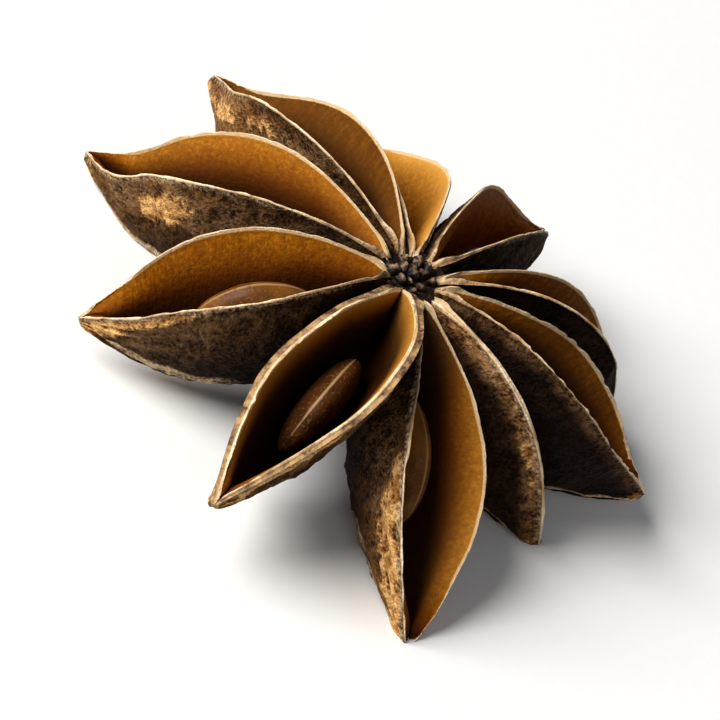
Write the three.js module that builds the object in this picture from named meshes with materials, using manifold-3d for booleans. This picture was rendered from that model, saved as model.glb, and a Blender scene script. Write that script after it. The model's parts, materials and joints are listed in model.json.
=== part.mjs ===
// A dried star anise pod, lying with its open side up.
//
// Ten woody carpels, each shaped like a small deep boat, are joined round a
// short column. Each one has split along its upper edge into two thin lips
// and stands open; one has stayed almost shut. Glossy seeds lie on edge in
// the open ones. Husk and column are one piece, and every seed is its own.
//
// Millimetres, +Z up. The pod rests at z = 0 on the undersides of its keels,
// and the origin is below the middle of its bounding box.

import * as THREE from 'three';
import { mergeVertices } from 'three/addons/utils/BufferGeometryUtils.js';
import Module from 'manifold-3d';

const wasm = await Module();
wasm.setup();

// ---- driving dimensions ----------------------------------------------------

// Where the column's axis meets the plane of the lips.
const HUB = new THREE.Vector3(0.55, 0.61, 10.1);

const LIP_START = 1.45; // radius at which the lips leave the column
const LIP_THICKNESS = 0.5;
const LIP_GAP = 0.32; // half the gap between a carpel's lips at the column
const WALL = 0.8; // below the lips
const FLOOR = 1.1; // over the keel
const COLUMN_WALL = 0.8; // how much thicker the wall is deep down beside the column
const COLUMN_FLOOR = 1.6; // and the floor
const LEAST_HOLLOW = 0.06; // half the width of the narrowest slit
const KEEL_WIDTH = 2.5;
const DEEPEST = 0.45; // fraction of a carpel's length at which it is deepest
const COLUMN_DEPTH = 0.62; // depth at the column, as a fraction of the greatest
const TIP_DEPTH = 0.05; // depth at the beak, likewise
const BOW_POWER = 1.75; // how the keel curves up to the beak
const BELLY = 0.9; // how far a shut carpel's wall bulges out between lip and keel
const BELLY_LOSS = 0.1; // and how much of that each millimetre of opening takes away
const SHUT_BELOW = 1.5; // a carpel with a smaller opening counts as shut
const SLIT_DEPTH = 2.5; // between the lips of a shut one

// One entry for each carpel, anticlockwise seen from above, angles in degrees.
// `droop` tilts it down from the column and `lean` rolls it about its length.
// `skew` raises its left lip over the right one, and `sweep` bends the tip to
// the left. `arch` humps the lips, `beak` lifts the tip, and `fullest` above 1
// moves the widest place outwards; `uneven` does so for the right lip and the
// opposite for the left. `seedAt` is how far along its seed lies, as
// a fraction, `seedDepth` how far its middle is below the lips, and `seedSize`
// scales it.
const CARPELS = [
  {
    azimuth: 9, length: 18.7, opening: 4.9, depth: 7.6, fullest: 1.25,
    droop: 26, lean: -12, skew: -4, sweep: 2.5, arch: 3.2, beak: 0.2,
  }, {
    azimuth: 33, length: 17.1, opening: 2.8, depth: 7.2, fullest: 1.3,
    droop: 25, lean: -6, skew: -6, sweep: 1.1, arch: 3.8, beak: -0.5,
  }, {
    azimuth: 76, length: 16.8, opening: 3.2, depth: 7.8, fullest: 0.9,
    droop: 28, lean: -2, skew: 0, sweep: -0.4, arch: 3.7, beak: 2.0,
    seedAt: 0.36, seedDepth: 4.1, seedSize: 0.72,
  }, {
    azimuth: 113, length: 17.7, opening: 4.4, depth: 9.0, fullest: 1.15,
    droop: 26, lean: 4, skew: 0, sweep: 0.5, arch: 2.6, beak: -0.9,
  }, {
    azimuth: 147, length: 19.2, opening: 4.9, depth: 7.8, fullest: 1.05,
    droop: 22, lean: 6, skew: 4, sweep: -0.8, arch: 3.8, beak: 0.4,
  }, {
    azimuth: 180, length: 19.7, opening: 5.3, depth: 8.2, fullest: 1.05,
    droop: 29, lean: 4, skew: 0, sweep: -2.5, arch: 3.5, beak: 0.4,
  }, {
    azimuth: 222, length: 17.0, opening: 5.5, depth: 7.6, fullest: 1.0,
    droop: 23, lean: 15, skew: 0, sweep: -1.4, arch: 2.4, beak: -1.2,
    seedAt: 0.45, seedDepth: 3.3,
  }, {
    azimuth: 269, length: 17.3, opening: 5.0, depth: 8.4, fullest: 1.0, lip: 0.65,
    droop: 18, lean: 5, skew: 19, sweep: -1.0, arch: 3.0, beak: 0, uneven: 0.12,
    seedAt: 0.45, seedDepth: 4.4, seedSize: 0.92,
  }, {
    azimuth: 313, length: 18.6, opening: 5.5, depth: 7.6, fullest: 1.15,
    droop: 29, lean: -9, skew: -6, sweep: 0.6, arch: 2.5, beak: -1.3,
    seedAt: 0.46, seedDepth: 3.5,
  }, {
    azimuth: 339, length: 16.2, opening: 0.9, depth: 7.0, fullest: 1.4,
    droop: 35, lean: -9, skew: 0, sweep: 4.4, arch: 3.9, beak: -1.2,
  },
].map((entry) => ({ lip: LIP_THICKNESS, uneven: 0, seedSize: 1, ...entry }));

const SEED = { length: 6.8, height: 4.0, thickness: 2.2 };

// Radius and height of the column's outline, from its base up to the dish that
// the lips' ends stand round.
const COLUMN_OUTLINE = [
  [0, -5.6], [1.5, -5.5], [2.2, -4.6], [2.3, -2.4], [2.1, -0.9],
  [1.6, -0.5], [1.3, -0.6], [0, -0.8],
];

// The dried remains of the flower's middle, laid out in the dish like florets.
const BEADS = { count: 9, spread: 0.95, radius: 0.38, uneven: 0.05, height: -0.55 };
const FLORET_TURN = THREE.MathUtils.degToRad(137.5);

// The stub of the stalk under the column, snapped off short of the surface below.
const STALK = { top: 1.15, bottom: 0.85, length: 3.2, tilt: 0.16 };
const STALK_MIDDLE = new THREE.Vector3(0.15, -0.1, -6.2);

// How finely the curves are cut into flat faces.
const COLUMN_FACETS = 20;
const BEAD_FACETS = [6, 4];
const STALK_FACETS = [9, 2];
const SEED_FACETS = [12, 8];
const BODY_STATIONS = 16;
const CAVITY_STATIONS = 12;
const BODY_STEPS = [0, 0.18, 0.42, 0.66, 0.85, 0.96]; // from the lips to the keel
const CAVITY_STEPS = [0, 0.25, 0.52, 0.78, 0.95];
const CAVITY_SPAN = [0.045, 0.94]; // the hollow part of a carpel's length
const ABOVE_LIPS = 0.7; // how far above the lips the cut for a hollow starts

// ---- the form of a carpel --------------------------------------------------

// How far a lip stands off the carpel's middle at the fraction t of the length.
// `side` is 1 for the left lip and -1 for the right one.
function lipOffset(carpel, t, side) {
  const swell = Math.sin(Math.PI * t ** (carpel.fullest - side * carpel.uneven));
  return LIP_GAP * (1 - t) + (carpel.opening / 2) * swell;
}

// The lips thin out to the beak.
function lipThickness(carpel, t) {
  return carpel.lip * (1 - 0.5 * t ** 6);
}

// How deep the keel lies below the lips.
function keelDepth(carpel, t) {
  if (t < DEEPEST) {
    const rise = Math.sin((Math.PI / 2) * (t / DEEPEST));
    return carpel.depth * (COLUMN_DEPTH + (1 - COLUMN_DEPTH) * rise);
  }
  const bow = ((t - DEEPEST) / (1 - DEEPEST)) ** BOW_POWER;
  return carpel.depth * (1 - (1 - TIP_DEPTH) * bow);
}

// The body is full in the middle and narrows to the column and to the beak.
function fullness(t) {
  return Math.min(1, 0.45 + 2.2 * t) * (1 - 0.8 * t ** 4);
}

// 1 at the column, falling to 0 a quarter of the way out.
function nearColumn(t) {
  return Math.max(0, 1 - 4 * t);
}

// The outer wall's distance from the middle, s of the way from lips to keel.
function outerOffset(carpel, t, side, s) {
  const lip = lipOffset(carpel, t, side) + lipThickness(carpel, t) / 2;
  const keel = (KEEL_WIDTH / 2) * fullness(t);
  const bulge = BELLY - BELLY_LOSS * carpel.opening;
  const belly = bulge * fullness(t) * Math.sin(Math.PI * s);
  return (lip * (1 - s) + keel * s + belly) * Math.sqrt(1 - s ** 8);
}

// The inner wall's distance from the middle, s of the way from lips to floor.
function innerOffset(carpel, t, side, s, depth) {
  const mouth = lipOffset(carpel, t, side) - lipThickness(carpel, t) / 2;
  if (s === 0 || carpel.opening < SHUT_BELOW) {
    return Math.max(mouth, LEAST_HOLLOW);
  }
  const wall = WALL + COLUMN_WALL * nearColumn(t) * s;
  const room = outerOffset(carpel, t, side, (s * depth) / keelDepth(carpel, t)) - wall;
  return Math.max(room, LEAST_HOLLOW) * Math.sqrt(1 - s ** 6);
}

// The point of a carpel that is `across` to its left and `up` from its lips.
function place(carpel, t, across, up) {
  const [lean, skew, droop, azimuth] = [carpel.lean, carpel.skew, carpel.droop, carpel.azimuth]
    .map(THREE.MathUtils.degToRad);
  const point = new THREE.Vector3(0, across, up + across * Math.tan(skew));
  point.applyAxisAngle(new THREE.Vector3(1, 0, 0), lean);
  point.x = LIP_START + (carpel.length - LIP_START) * t;
  point.y += carpel.sweep * t ** 2;
  point.z += carpel.arch * Math.sin(Math.PI * t ** 0.8) + carpel.beak * t ** 5;
  point.applyAxisAngle(new THREE.Vector3(0, 1, 0), droop);
  return point.applyAxisAngle(new THREE.Vector3(0, 0, 1), azimuth);
}

// ---- solids ----------------------------------------------------------------

// A closed body through rings of points, anticlockwise seen from the last one.
function loft(rings) {
  const count = rings[0].length;
  const vertices = rings.flat().flatMap((point) => point.toArray());
  const triangles = [];
  for (let i = 0; i + 1 < rings.length; i += 1) {
    for (let j = 0; j < count; j += 1) {
      const a = i * count + j;
      const b = i * count + ((j + 1) % count);
      triangles.push(a, b, a + count, b, b + count, a + count);
    }
  }
  for (const end of [0, rings.length - 1]) {
    const centre = vertices.length / 3;
    const middle = new THREE.Vector3();
    rings[end].forEach((point) => middle.addScaledVector(point, 1 / count));
    vertices.push(...middle.toArray());
    for (let j = 0; j < count; j += 1) {
      const a = end * count + j;
      const b = end * count + ((j + 1) % count);
      triangles.push(centre, ...(end === 0 ? [b, a] : [a, b]));
    }
  }
  return solid(vertices, triangles);
}

function solid(vertices, triangles) {
  return new wasm.Manifold(new wasm.Mesh({
    numProp: 3,
    vertProperties: new Float32Array(vertices),
    triVerts: new Uint32Array(triangles),
  }));
}

// A three.js geometry as a solid: shared vertices merged, empty triangles left out.
function solidOf(geometry) {
  geometry.deleteAttribute('normal');
  geometry.deleteAttribute('uv');
  const merged = mergeVertices(geometry, 1e-4);
  const index = Array.from(merged.index.array);
  const triangles = [];
  for (let i = 0; i < index.length; i += 3) {
    const [a, b, c] = index.slice(i, i + 3);
    if (a !== b && b !== c && c !== a) {
      triangles.push(a, b, c);
    }
  }
  return solid(merged.attributes.position.array, triangles);
}

function fractions(count, from, to) {
  return Array.from({ length: count }, (_, i) => from + ((to - from) * i) / (count - 1));
}

// A ring from the right lip down to the keel and up to the left lip.
function ring(carpel, t, steps, depth, offset) {
  const [right, left] = [-1, 1].map((side) => steps.map((s) => (
    place(carpel, t, side * offset(side, Math.max(s, 0)), -s * depth)
  )));
  return [...right, place(carpel, t, 0, -depth), ...left.reverse()];
}

function carpelBody(carpel) {
  return loft(fractions(BODY_STATIONS, 0, 1).map((t) => (
    ring(carpel, t, BODY_STEPS, keelDepth(carpel, t), (side, s) => outerOffset(carpel, t, side, s))
  )));
}

// What is cut out of a body.
function carpelCavity(carpel) {
  return loft(fractions(CAVITY_STATIONS, ...CAVITY_SPAN).map((t) => {
    const whole = keelDepth(carpel, t);
    const depth = carpel.opening < SHUT_BELOW
      ? Math.min(SLIT_DEPTH, whole / 2)
      : Math.max(whole - FLOOR - COLUMN_FLOOR * nearColumn(t), whole / 2);
    const steps = [-ABOVE_LIPS / depth, ...CAVITY_STEPS];
    return ring(carpel, t, steps, depth, (side, s) => innerOffset(carpel, t, side, s, depth));
  }));
}

function column() {
  const outline = COLUMN_OUTLINE.map(([radius, height]) => new THREE.Vector2(radius, height));
  const lathe = new THREE.LatheGeometry(outline, COLUMN_FACETS);
  return solidOf(lathe.rotateX(Math.PI / 2));
}

function beads() {
  return Array.from({ length: BEADS.count }, (_, i) => {
    const away = BEADS.spread * Math.sqrt(i / (BEADS.count - 1));
    const turn = i * FLORET_TURN;
    const radius = BEADS.radius + BEADS.uneven * Math.sin(2.3 * i);
    const bead = new THREE.SphereGeometry(radius, ...BEAD_FACETS);
    bead.translate(away * Math.cos(turn), away * Math.sin(turn), BEADS.height);
    return solidOf(bead);
  });
}

function stalk() {
  const stub = new THREE.CylinderGeometry(STALK.top, STALK.bottom, STALK.length, ...STALK_FACETS);
  stub.rotateX(Math.PI / 2).rotateY(STALK.tilt).translate(...STALK_MIDDLE.toArray());
  return solidOf(stub);
}

// Everything that reaches below the surface that the pod lies on.
function ground() {
  const size = 60;
  const box = new THREE.BoxGeometry(size, size, size);
  return solidOf(box.translate(0, 0, -HUB.z - size / 2));
}

function husk() {
  const bodies = [column(), stalk(), ...CARPELS.map(carpelBody)];
  const whole = wasm.Manifold.union(bodies);
  const hollow = wasm.Manifold.union(CARPELS.map(carpelCavity));
  const open = wasm.Manifold.union([whole.subtract(hollow), ...beads()]);
  return open.subtract(ground());
}

// A seed on its edge, bent to the carpel that holds it.
function seed(carpel) {
  const sphere = new THREE.SphereGeometry(1, ...SEED_FACETS).rotateZ(Math.PI / 2);
  const at = sphere.attributes.position;
  const span = carpel.length - LIP_START;
  for (let i = 0; i < at.count; i += 1) {
    const along = at.getX(i) * carpel.seedSize * (SEED.length / 2);
    const across = at.getY(i) * carpel.seedSize * (SEED.thickness / 2);
    const up = at.getZ(i) * carpel.seedSize * (SEED.height / 2) - carpel.seedDepth;
    const point = place(carpel, carpel.seedAt + along / span, across, up);
    at.setXYZ(i, ...point.toArray());
  }
  return solidOf(sphere);
}

// ---- the scene graph -------------------------------------------------------

function mesh(name, body, material) {
  const { vertProperties, triVerts } = body.getMesh();
  const geometry = new THREE.BufferGeometry();
  geometry.setAttribute('position', new THREE.BufferAttribute(vertProperties, 3));
  geometry.setIndex(new THREE.BufferAttribute(triVerts, 1));
  geometry.computeVertexNormals();
  const result = new THREE.Mesh(geometry, material);
  result.name = name;
  return result;
}

const woody = new THREE.MeshStandardMaterial({ color: 0x5c3f28, roughness: 0.85, metalness: 0 });
const glossy = new THREE.MeshStandardMaterial({ color: 0x6a3a18, roughness: 0.3, metalness: 0 });

const pod = new THREE.Group();
pod.position.copy(HUB);
pod.add(mesh('husk', husk(), woody));
CARPELS.filter((carpel) => carpel.seedAt).forEach((carpel, i) => {
  pod.add(mesh(`seed_${i + 1}`, seed(carpel), glossy));
});

const group = new THREE.Group();
group.add(pod);

export default group;
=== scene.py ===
# A dried star anise pod, lying with its open side up.
#
# The husk is rebuilt finely from the same carpel form as its solid: ten woody
# boats round a short column, each split open between two lips. Its skin, lips
# and lining are separate materials on one closed mesh, and the seeds are pieces
# of their own. Sizes are millimetres until a mesh is made, then metres.

import json
import math

import bmesh
import bpy
import numpy as np
from mathutils import Matrix, Vector

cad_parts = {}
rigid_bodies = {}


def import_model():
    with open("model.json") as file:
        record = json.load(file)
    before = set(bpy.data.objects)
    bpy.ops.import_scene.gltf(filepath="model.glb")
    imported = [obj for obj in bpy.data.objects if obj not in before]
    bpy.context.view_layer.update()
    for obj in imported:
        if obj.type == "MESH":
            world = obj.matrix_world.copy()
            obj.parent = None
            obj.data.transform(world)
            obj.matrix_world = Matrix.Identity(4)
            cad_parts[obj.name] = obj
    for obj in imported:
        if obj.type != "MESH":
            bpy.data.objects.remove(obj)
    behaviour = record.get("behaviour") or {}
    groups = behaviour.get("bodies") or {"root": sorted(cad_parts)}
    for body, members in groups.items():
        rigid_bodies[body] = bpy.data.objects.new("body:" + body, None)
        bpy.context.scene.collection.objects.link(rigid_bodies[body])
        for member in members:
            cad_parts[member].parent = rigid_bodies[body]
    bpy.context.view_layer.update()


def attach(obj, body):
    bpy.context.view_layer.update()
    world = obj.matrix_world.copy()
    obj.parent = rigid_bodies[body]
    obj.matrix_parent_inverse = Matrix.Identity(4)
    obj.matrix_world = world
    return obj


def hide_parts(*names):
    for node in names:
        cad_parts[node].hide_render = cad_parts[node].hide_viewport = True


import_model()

MM = 0.001

# ---- the carpels: the solid's form, with thinner lips --------------------------

HUB = np.array([0.55, 0.61, 10.1])  # where the column's axis meets the lips' plane

LIP_START = 1.45  # how far from the column's axis a carpel begins
LIP_THICKNESS = 0.14
LIP_GAP = 0.32  # half the gap between a carpel's lips at the column
WALL = 0.8
FLOOR = 1.1
COLUMN_WALL = 0.8  # how much thicker walls and floors are beside the column
COLUMN_FLOOR = 1.6
LEAST_HOLLOW = 0.06  # half the least width of a hollow
LEAST_WALL = 0.13  # what dents and folds always leave of a wall
KEEL_WIDTH = 2.5
BELLY = 0.9  # how far the walls bulge, and what each mm of opening takes off that
BELLY_LOSS = 0.1

# Shares of a carpel's length are called t, from 0 at the column to 1 at the beak, and
# shares of the way down from its lips to its keel or floor are called s.
DEEPEST = 0.45  # the t where the keel is lowest
COLUMN_DEPTH = 0.62  # the keel's depth at each end, as shares of the most
TIP_DEPTH = 0.05
BOW_POWER = 1.75
KNOB_SWELL = 0.7  # each lip ends in a knob by the column, this much thicker
KNOB_SPAN = 0.08
LIP_TAPER = 0.5  # how much thinner it is at the beak
DRAWN_FROM, DRAWN_TO = 0.7, 0.92  # where the lips draw in behind the beak
TUCK_END = 0.75  # a tuck's share of the length, and of the way down
TUCK_LOW = 0.7
LIP_BLEND = 0.35  # the s by which a wall has its whole thickness
LIP_HANG = 2.5  # how far below the lips, in mm, their waves die away

# A shut carpel's lips stand apart only beside the column, over a shallow slit.
SHUT_SPAN = 0.16
SHUT_GAP = 0.6 * LIP_GAP
SLIT_DEPTH = 1.2

# The carpels, in mm and degrees. Left and right are as seen from the column.
#
# Form: `azimuth` is which way a carpel points, anticlockwise from above, and `length`
# how far out its beak is. `opening` is the most that its lips stand apart, further out
# for a larger `fullest`, and on the left lip nearer the column by `uneven`. `depth` is
# how far its keel is below them, and `bow` how full that is towards the beak. It
# slopes down outwards by `droop` and turns its mouth to the right by `lean`, and
# `skew` lifts its left lip over its right. Its middle rises by `arch`, its beak by
# `beak`, and its beak is swept to the left by `sweep`.
#
# Lips: `lip` is their thickness, `shelf` the share of it that is torn fibre, `ragged`
# how torn they are, and `shut` says that they meet. `drawn` is how far the left and
# right ones are drawn in at the beak, or bulge if it is below 0, `gape` how far they
# still stand apart there, and `hook` how far they dip behind it, at what t and how
# widely. `tucked` is how far the left and right walls are pressed in by a neighbour.
#
# Looks: `warm` is how amber the lining is, from 0, dull brown, to 1, `dark` how soon
# painted shade darkens it inwards, `core` how dark painted shadow makes it by the column,
# and `glow` how much painted light lies on it beside the lips. `light` is how brown the
# skin is, from 0, black, to 1, partly its own colour and partly painted shade on carpels
# that lie in shadow, `fade` how far down painted shade has darkened it, `root` how much
# of its brown the painted shade by the column leaves, and `rim` how pale it is beside the
# lips. Each of `scars` is a place where the skin has worn to tan, by as much as `worn`:
# its t, how far down it is, its length and height. A seed is `at` a t, its middle `depth`
# below the lips, and from brown to `tan`, partly its own colour and partly painted shade,
# darker for a seed set deep in shadow.
CARPELS = [
    dict(
        azimuth=9, length=18.7, opening=4.9, depth=7.6, fullest=1.25, droop=26, lean=-12,
        skew=-4, sweep=2.5, arch=3.2, beak=0.2, ragged=0.09, bow=2.2,
        warm=0.35, dark=2.4, light=0.35, fade=0.9, root=0.9, rim=0.3,
    ),
    dict(
        azimuth=33, length=17.1, opening=2.8, depth=7.2, fullest=1.3, droop=25, lean=-6,
        skew=-6, sweep=1.1, arch=3.8, beak=-0.5, tucked=(0.0, 1.1),
        warm=0.45, dark=0.9, light=0.06, rim=0.15,
    ),
    dict(
        azimuth=76, length=16.8, opening=3.2, depth=7.8, fullest=0.9, droop=28, lean=-2,
        skew=0, sweep=-0.4, arch=3.7, beak=2.0, warm=0.65, dark=0.3, core=0.0,
        light=0.35, rim=0.45, seed=dict(at=0.36, depth=4.1, size=0.72, tan=0.5),
    ),
    dict(
        azimuth=113, length=17.7, opening=4.4, depth=9.0, fullest=1.15, droop=26, lean=4,
        skew=0, sweep=0.5, arch=2.6, beak=-0.9, warm=1.0, dark=0.2, core=0.0,
        glow=1.0, light=0.4, rim=0.3,
    ),
    dict(
        azimuth=147, length=19.2, opening=4.9, depth=7.8, fullest=1.05, droop=22, lean=6,
        skew=4, sweep=-0.8, arch=3.2, beak=0.4, tucked=(1.0, 0.2), drawn=(0.3, 0.8),
        hook=(0.35, 0.8, 0.12), warm=0.15, dark=1.5, light=1.0, rim=0.5, worn=0.65,
        scars=[(0.84, 1.2, 2.4, 0.6), (0.6, 1.4, 1.6, 0.4)],
    ),
    dict(
        azimuth=180, length=19.7, opening=5.0, depth=8.2, fullest=1.05, droop=29, lean=4,
        skew=0, sweep=-2.5, arch=3.5, beak=0.4, tucked=(0.2, 0.0), drawn=(-0.7, 0.9),
        hook=(0.33, 0.81, 0.12), bow=2.0, warm=0.95, dark=1.6, glow=0.2, light=0.62, rim=0.6,
        scars=[(0.65, 2.0, 2.3, 0.9)],
    ),
    dict(
        azimuth=222, length=17.0, opening=5.5, depth=7.6, fullest=1.0, droop=23, lean=15,
        skew=0, sweep=-1.4, arch=2.4, beak=-1.2, ragged=0.05, drawn=(-0.4, 0.2), bow=2.2,
        warm=0.75, dark=1.2, light=0.38, rim=0.6,
        scars=[(0.95, 0.5, 1.8, 0.9), (0.8, 0.3, 2.4, 0.45)],
        seed=dict(at=0.45, depth=3.3, size=1.0, tan=0.6),
    ),
    dict(
        azimuth=269, length=17.3, opening=5.0, depth=8.4, fullest=1.0, lip=0.5, shelf=0.55,
        droop=18, lean=5, skew=19, sweep=-1.0, arch=3.0, beak=0.0, uneven=0.12, ragged=0.1,
        drawn=(0.0, 0.0), warm=0.7, dark=1.9, core=0.0, glow=0.7, light=0.5, rim=0.8,
        scars=[(0.4, 0.1, 3.0, 0.3), (0.85, 0.3, 3.0, 0.5)],
        seed=dict(at=0.45, depth=4.4, size=0.92, tan=0.0),
    ),
    dict(
        azimuth=313, length=18.6, opening=5.5, depth=7.6, fullest=1.25, droop=29, lean=-9,
        skew=-6, sweep=-0.2, arch=2.5, beak=-1.3, ragged=0.06, drawn=(0.0, 0.0), gape=0.3,
        warm=0.9, dark=1.4, core=0.5, glow=0.35, light=0.85, rim=0.8,
        seed=dict(at=0.46, depth=3.5, size=1.0, tan=0.8),
        scars=[
            (0.56, 0.4, 1.8, 0.6), (0.66, 1.0, 1.9, 1.1), (0.78, 0.9, 2.2, 1.2),
            (0.9, 0.6, 2.0, 0.8),
        ],
    ),
    dict(
        azimuth=339, length=16.2, opening=0.9, depth=7.0, fullest=1.4, lip=0.18, droop=35,
        lean=-9, skew=0, sweep=4.4, arch=3.9, beak=-1.2, tucked=(0.0, 0.5), shut=True,
        warm=0.3, light=1.2, fade=1.3, root=0.85, rim=0.55, worn=0.6,
        scars=[(0.6, 0.4, 2.2, 0.4)],
    ),
]
DEFAULTS = dict(
    lip=LIP_THICKNESS, shelf=0.2, uneven=0.0, ragged=0.03, drawn=(0.3, 0.3), gape=0.0,
    hook=(0.0, 0.9, 0.1), bow=BOW_POWER, tucked=(0.0, 0.0), shut=False, dark=1.0,
    core=0.1, glow=0.0, fade=6.0, root=0.3, worn=1.0, scars=(),
)
for number, carpel in enumerate(CARPELS):
    CARPELS[number] = DEFAULTS | carpel | dict(number=number)

SEED_LENGTH = 6.8
SEED_HEIGHT = 4.0
SEED_THICKNESS = 2.2
SEED_SEAM = 0.05  # how far its seam stands up, and half how wide that is
SEED_SEAM_WIDTH = 0.048

# The lid over a carpel, which its hollow is cut through: how far in from its edge
# the points lie, in lip thicknesses. What is left of the lid is the lips.
LID_POINTS = (0.1, 0.24, 0.4, 0.55, 0.69, 0.83, 0.97, 1.5)
CREST = 0.1  # how high a lip's crest stands, and how low its torn shelf lies
SHELF = 0.04
KNOB_RISE = 0.24  # how far a lip stands up in its knob

# The rim wanders by RIM_WAVE and is nicked and torn, each in waves of its own length.
RIM_WAVE = 0.10
SLOW_WAVE = 3.6
TEAR_WAVE = 1.7
TORN_WAVE = 0.55
NICK_WAVE = 0.45
FINE_NICK_WAVE = 0.28
CREST_WAVE = 1.1
DIP_WAVE = 2.1

# Relief of the skin: the size of its features and how deep they are, in mm.
GRAIN_SIZE, GRAIN_DEPTH = 0.55, 0.035
DENT_SIZE, DENT_DEPTH = 3.2, 0.14
FOLD_SIZE, FOLD_DEPTH = 2.4, 0.26
WRINKLE_SIZE, WRINKLE_DEPTH = 0.9, 0.13
SCAR_WRINKLE = 0.1  # how much deeper they are in a scar
SHRINKAGE = 0.1  # how far the skin lies in from the plain form

BEAD_COUNT = 13
BEAD_SPREAD = 1.16
BEAD_RADIUS = 0.34
BEAD_UNEVEN = 0.09
BEAD_HEIGHT = -0.58
BEAD_SHAPE = np.array([1.0, 0.72, 1.0])
BEAD_TURN = 77.0
FLORET_TURN = math.radians(137.5)

STALK_TOP = 1.15
STALK_BOTTOM = 0.85
STALK_LENGTH = 3.2
STALK_TILT = 0.16
STALK_MIDDLE = np.array([0.15, -0.1, -6.2])

# How finely the meshes are cut.
STATIONS = 124
WALL_STEPS = 22
HOLLOW_STATIONS = 84
HOLLOW_STEPS = 15
SEED_RINGS = 48
SEED_SIDES = 44
BEAD_RINGS = 11
BEAD_SIDES = 16

HOLLOW_START, HOLLOW_END = 0.012, 0.99  # the t where a hollow begins and ends
PAST_BEAK = 1.03  # and where it ends if it splits the beak

# The camera looks along +Y and down, and is rolled about its line of sight.
CAMERA_ELEVATION = 42.0
CAMERA_ROLL = 36.0
CAMERA_DISTANCE = 250.0
CAMERA_LENS = 250.0
CAMERA_AIM = (0.31, -7.86, 0.0)  # what it looks at, from the hub

FLOOR_HALF = 1.5  # metres
WORLD_STRENGTH = 0.14


def ease(x, start, end):
    """0 before start, 1 after end, and a smooth rise between."""
    f = np.clip((x - start) / (end - start), 0, 1)
    return f * f * (3 - 2 * f)


def bump(x, middle, width):
    """1 at the middle, falling smoothly away to both sides."""
    return np.exp(-(((x - middle) / width) ** 2))


def lip_thickness(c, t):
    return c["lip"] * (1 - LIP_TAPER * t ** 6) * (1 + KNOB_SWELL * bump(t, 0, KNOB_SPAN))


def lip_offset(c, t, side):
    """How far a lip stands off the carpel's middle; side is 1 left and -1 right."""
    if c["shut"]:
        return lip_thickness(c, t) / 2 + SHUT_GAP * np.maximum(1 - t / SHUT_SPAN, 0)
    swell = np.sin(np.pi * t ** (c["fullest"] - side * c["uneven"]))
    left, right = c["drawn"]
    drawn = 1 - (left if side > 0 else right) * ease(t, DRAWN_FROM, DRAWN_TO)
    pinch = 0.55 + 0.45 * ease(t, 0.0, 0.06)
    gape = c["gape"] * ease(t, 0.75, 1.0)
    return LIP_GAP * (1 - t) * pinch + c["opening"] / 2 * swell * drawn + gape


def keel_depth(c, t):
    rise = np.sin(np.pi / 2 * np.minimum(t / DEEPEST, 1))
    bow = (np.maximum(t - DEEPEST, 0) / (1 - DEEPEST)) ** c["bow"]
    near = COLUMN_DEPTH + (1 - COLUMN_DEPTH) * rise
    return c["depth"] * np.where(t < DEEPEST, near, 1 - (1 - TIP_DEPTH) * bow)


def fullness(t):
    """How wide the keel is, as a share of the most: narrow at both ends."""
    return np.minimum(1, 0.45 + 2.2 * t) * (1 - 0.8 * t ** 4)


def near_column(t):
    """1 at the column, falling to 0 a quarter of the way out."""
    return np.maximum(0, 1 - 4 * t)


def tuck(c, t, side, s):
    """How far the wall is pressed in just below its lip, beside its neighbour's."""
    left, right = c["tucked"]
    outwards = np.sin(np.pi * np.clip(t / TUCK_END, 0, 1)) ** 0.6
    downwards = np.sin(np.pi * np.clip(s / TUCK_LOW, 0, 1) ** 0.8)
    return (left if side > 0 else right) * outwards * downwards


def outer_offset(c, t, side, s):
    """The outer wall's distance from the middle, s of the way from lips to keel."""
    lip = lip_offset(c, t, side) + lip_thickness(c, t) / 2
    keel = KEEL_WIDTH / 2 * fullness(t)
    belly = (BELLY - BELLY_LOSS * c["opening"]) * fullness(t) * np.sin(np.pi * s)
    width = lip * (1 - s) + keel * s + belly - tuck(c, t, side, s)
    return width * np.sqrt(np.maximum(1 - s ** 8, 0))


def wall_thickness(c, t, s):
    """How thick the wall is, s of the way down: at its top it is as thin as the lip."""
    lip = lip_thickness(c, t)
    below = np.sin(np.pi / 2 * np.clip(s / LIP_BLEND, 0, 1))
    return lip + (WALL + COLUMN_WALL * near_column(t) * s - lip) * below


def inner_offset(c, t, side, s, depth):
    """The inner wall's distance from the middle, s of the way from lips to floor."""
    if c["shut"]:
        mouth = np.maximum(lip_offset(c, t, side) - lip_thickness(c, t) / 2, LEAST_HOLLOW)
        return mouth * np.ones_like(s)
    room = outer_offset(c, t, side, s * depth / keel_depth(c, t)) - wall_thickness(c, t, s)
    return np.maximum(room, LEAST_HOLLOW) * np.sqrt(np.maximum(1 - s ** 6, 0))


def inner_depth(c, t):
    whole = keel_depth(c, t)
    if c["shut"]:
        return SLIT_DEPTH * np.ones_like(whole)
    return np.maximum(whole - FLOOR - COLUMN_FLOOR * near_column(t), whole / 2)


def turned(points, axis, degrees):
    """Rows of points turned about one axis through the origin."""
    turn = Matrix.Rotation(math.radians(degrees), 3, axis)
    return points @ np.array(turn).T


def place(c, t, across, up):
    """Points that are `across` to a carpel's left and `up` from its lips."""
    t, across, up = np.broadcast_arrays(t, across, up)
    lifted = up + across * math.tan(math.radians(c["skew"]))
    flat = np.stack([np.zeros_like(t), across, lifted], -1)
    points = turned(flat, "X", c["lean"])
    points[..., 0] = LIP_START + (c["length"] - LIP_START) * t
    points[..., 1] += c["sweep"] * t ** 2
    points[..., 2] += c["arch"] * np.sin(np.pi * t ** 0.8) + c["beak"] * t ** 5
    dip, behind, width = c["hook"]
    points[..., 2] -= dip * bump(t, behind, width)
    return turned(turned(points, "Y", c["droop"]), "Z", c["azimuth"]) + HUB


# ---- noise -------------------------------------------------------------------

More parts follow.
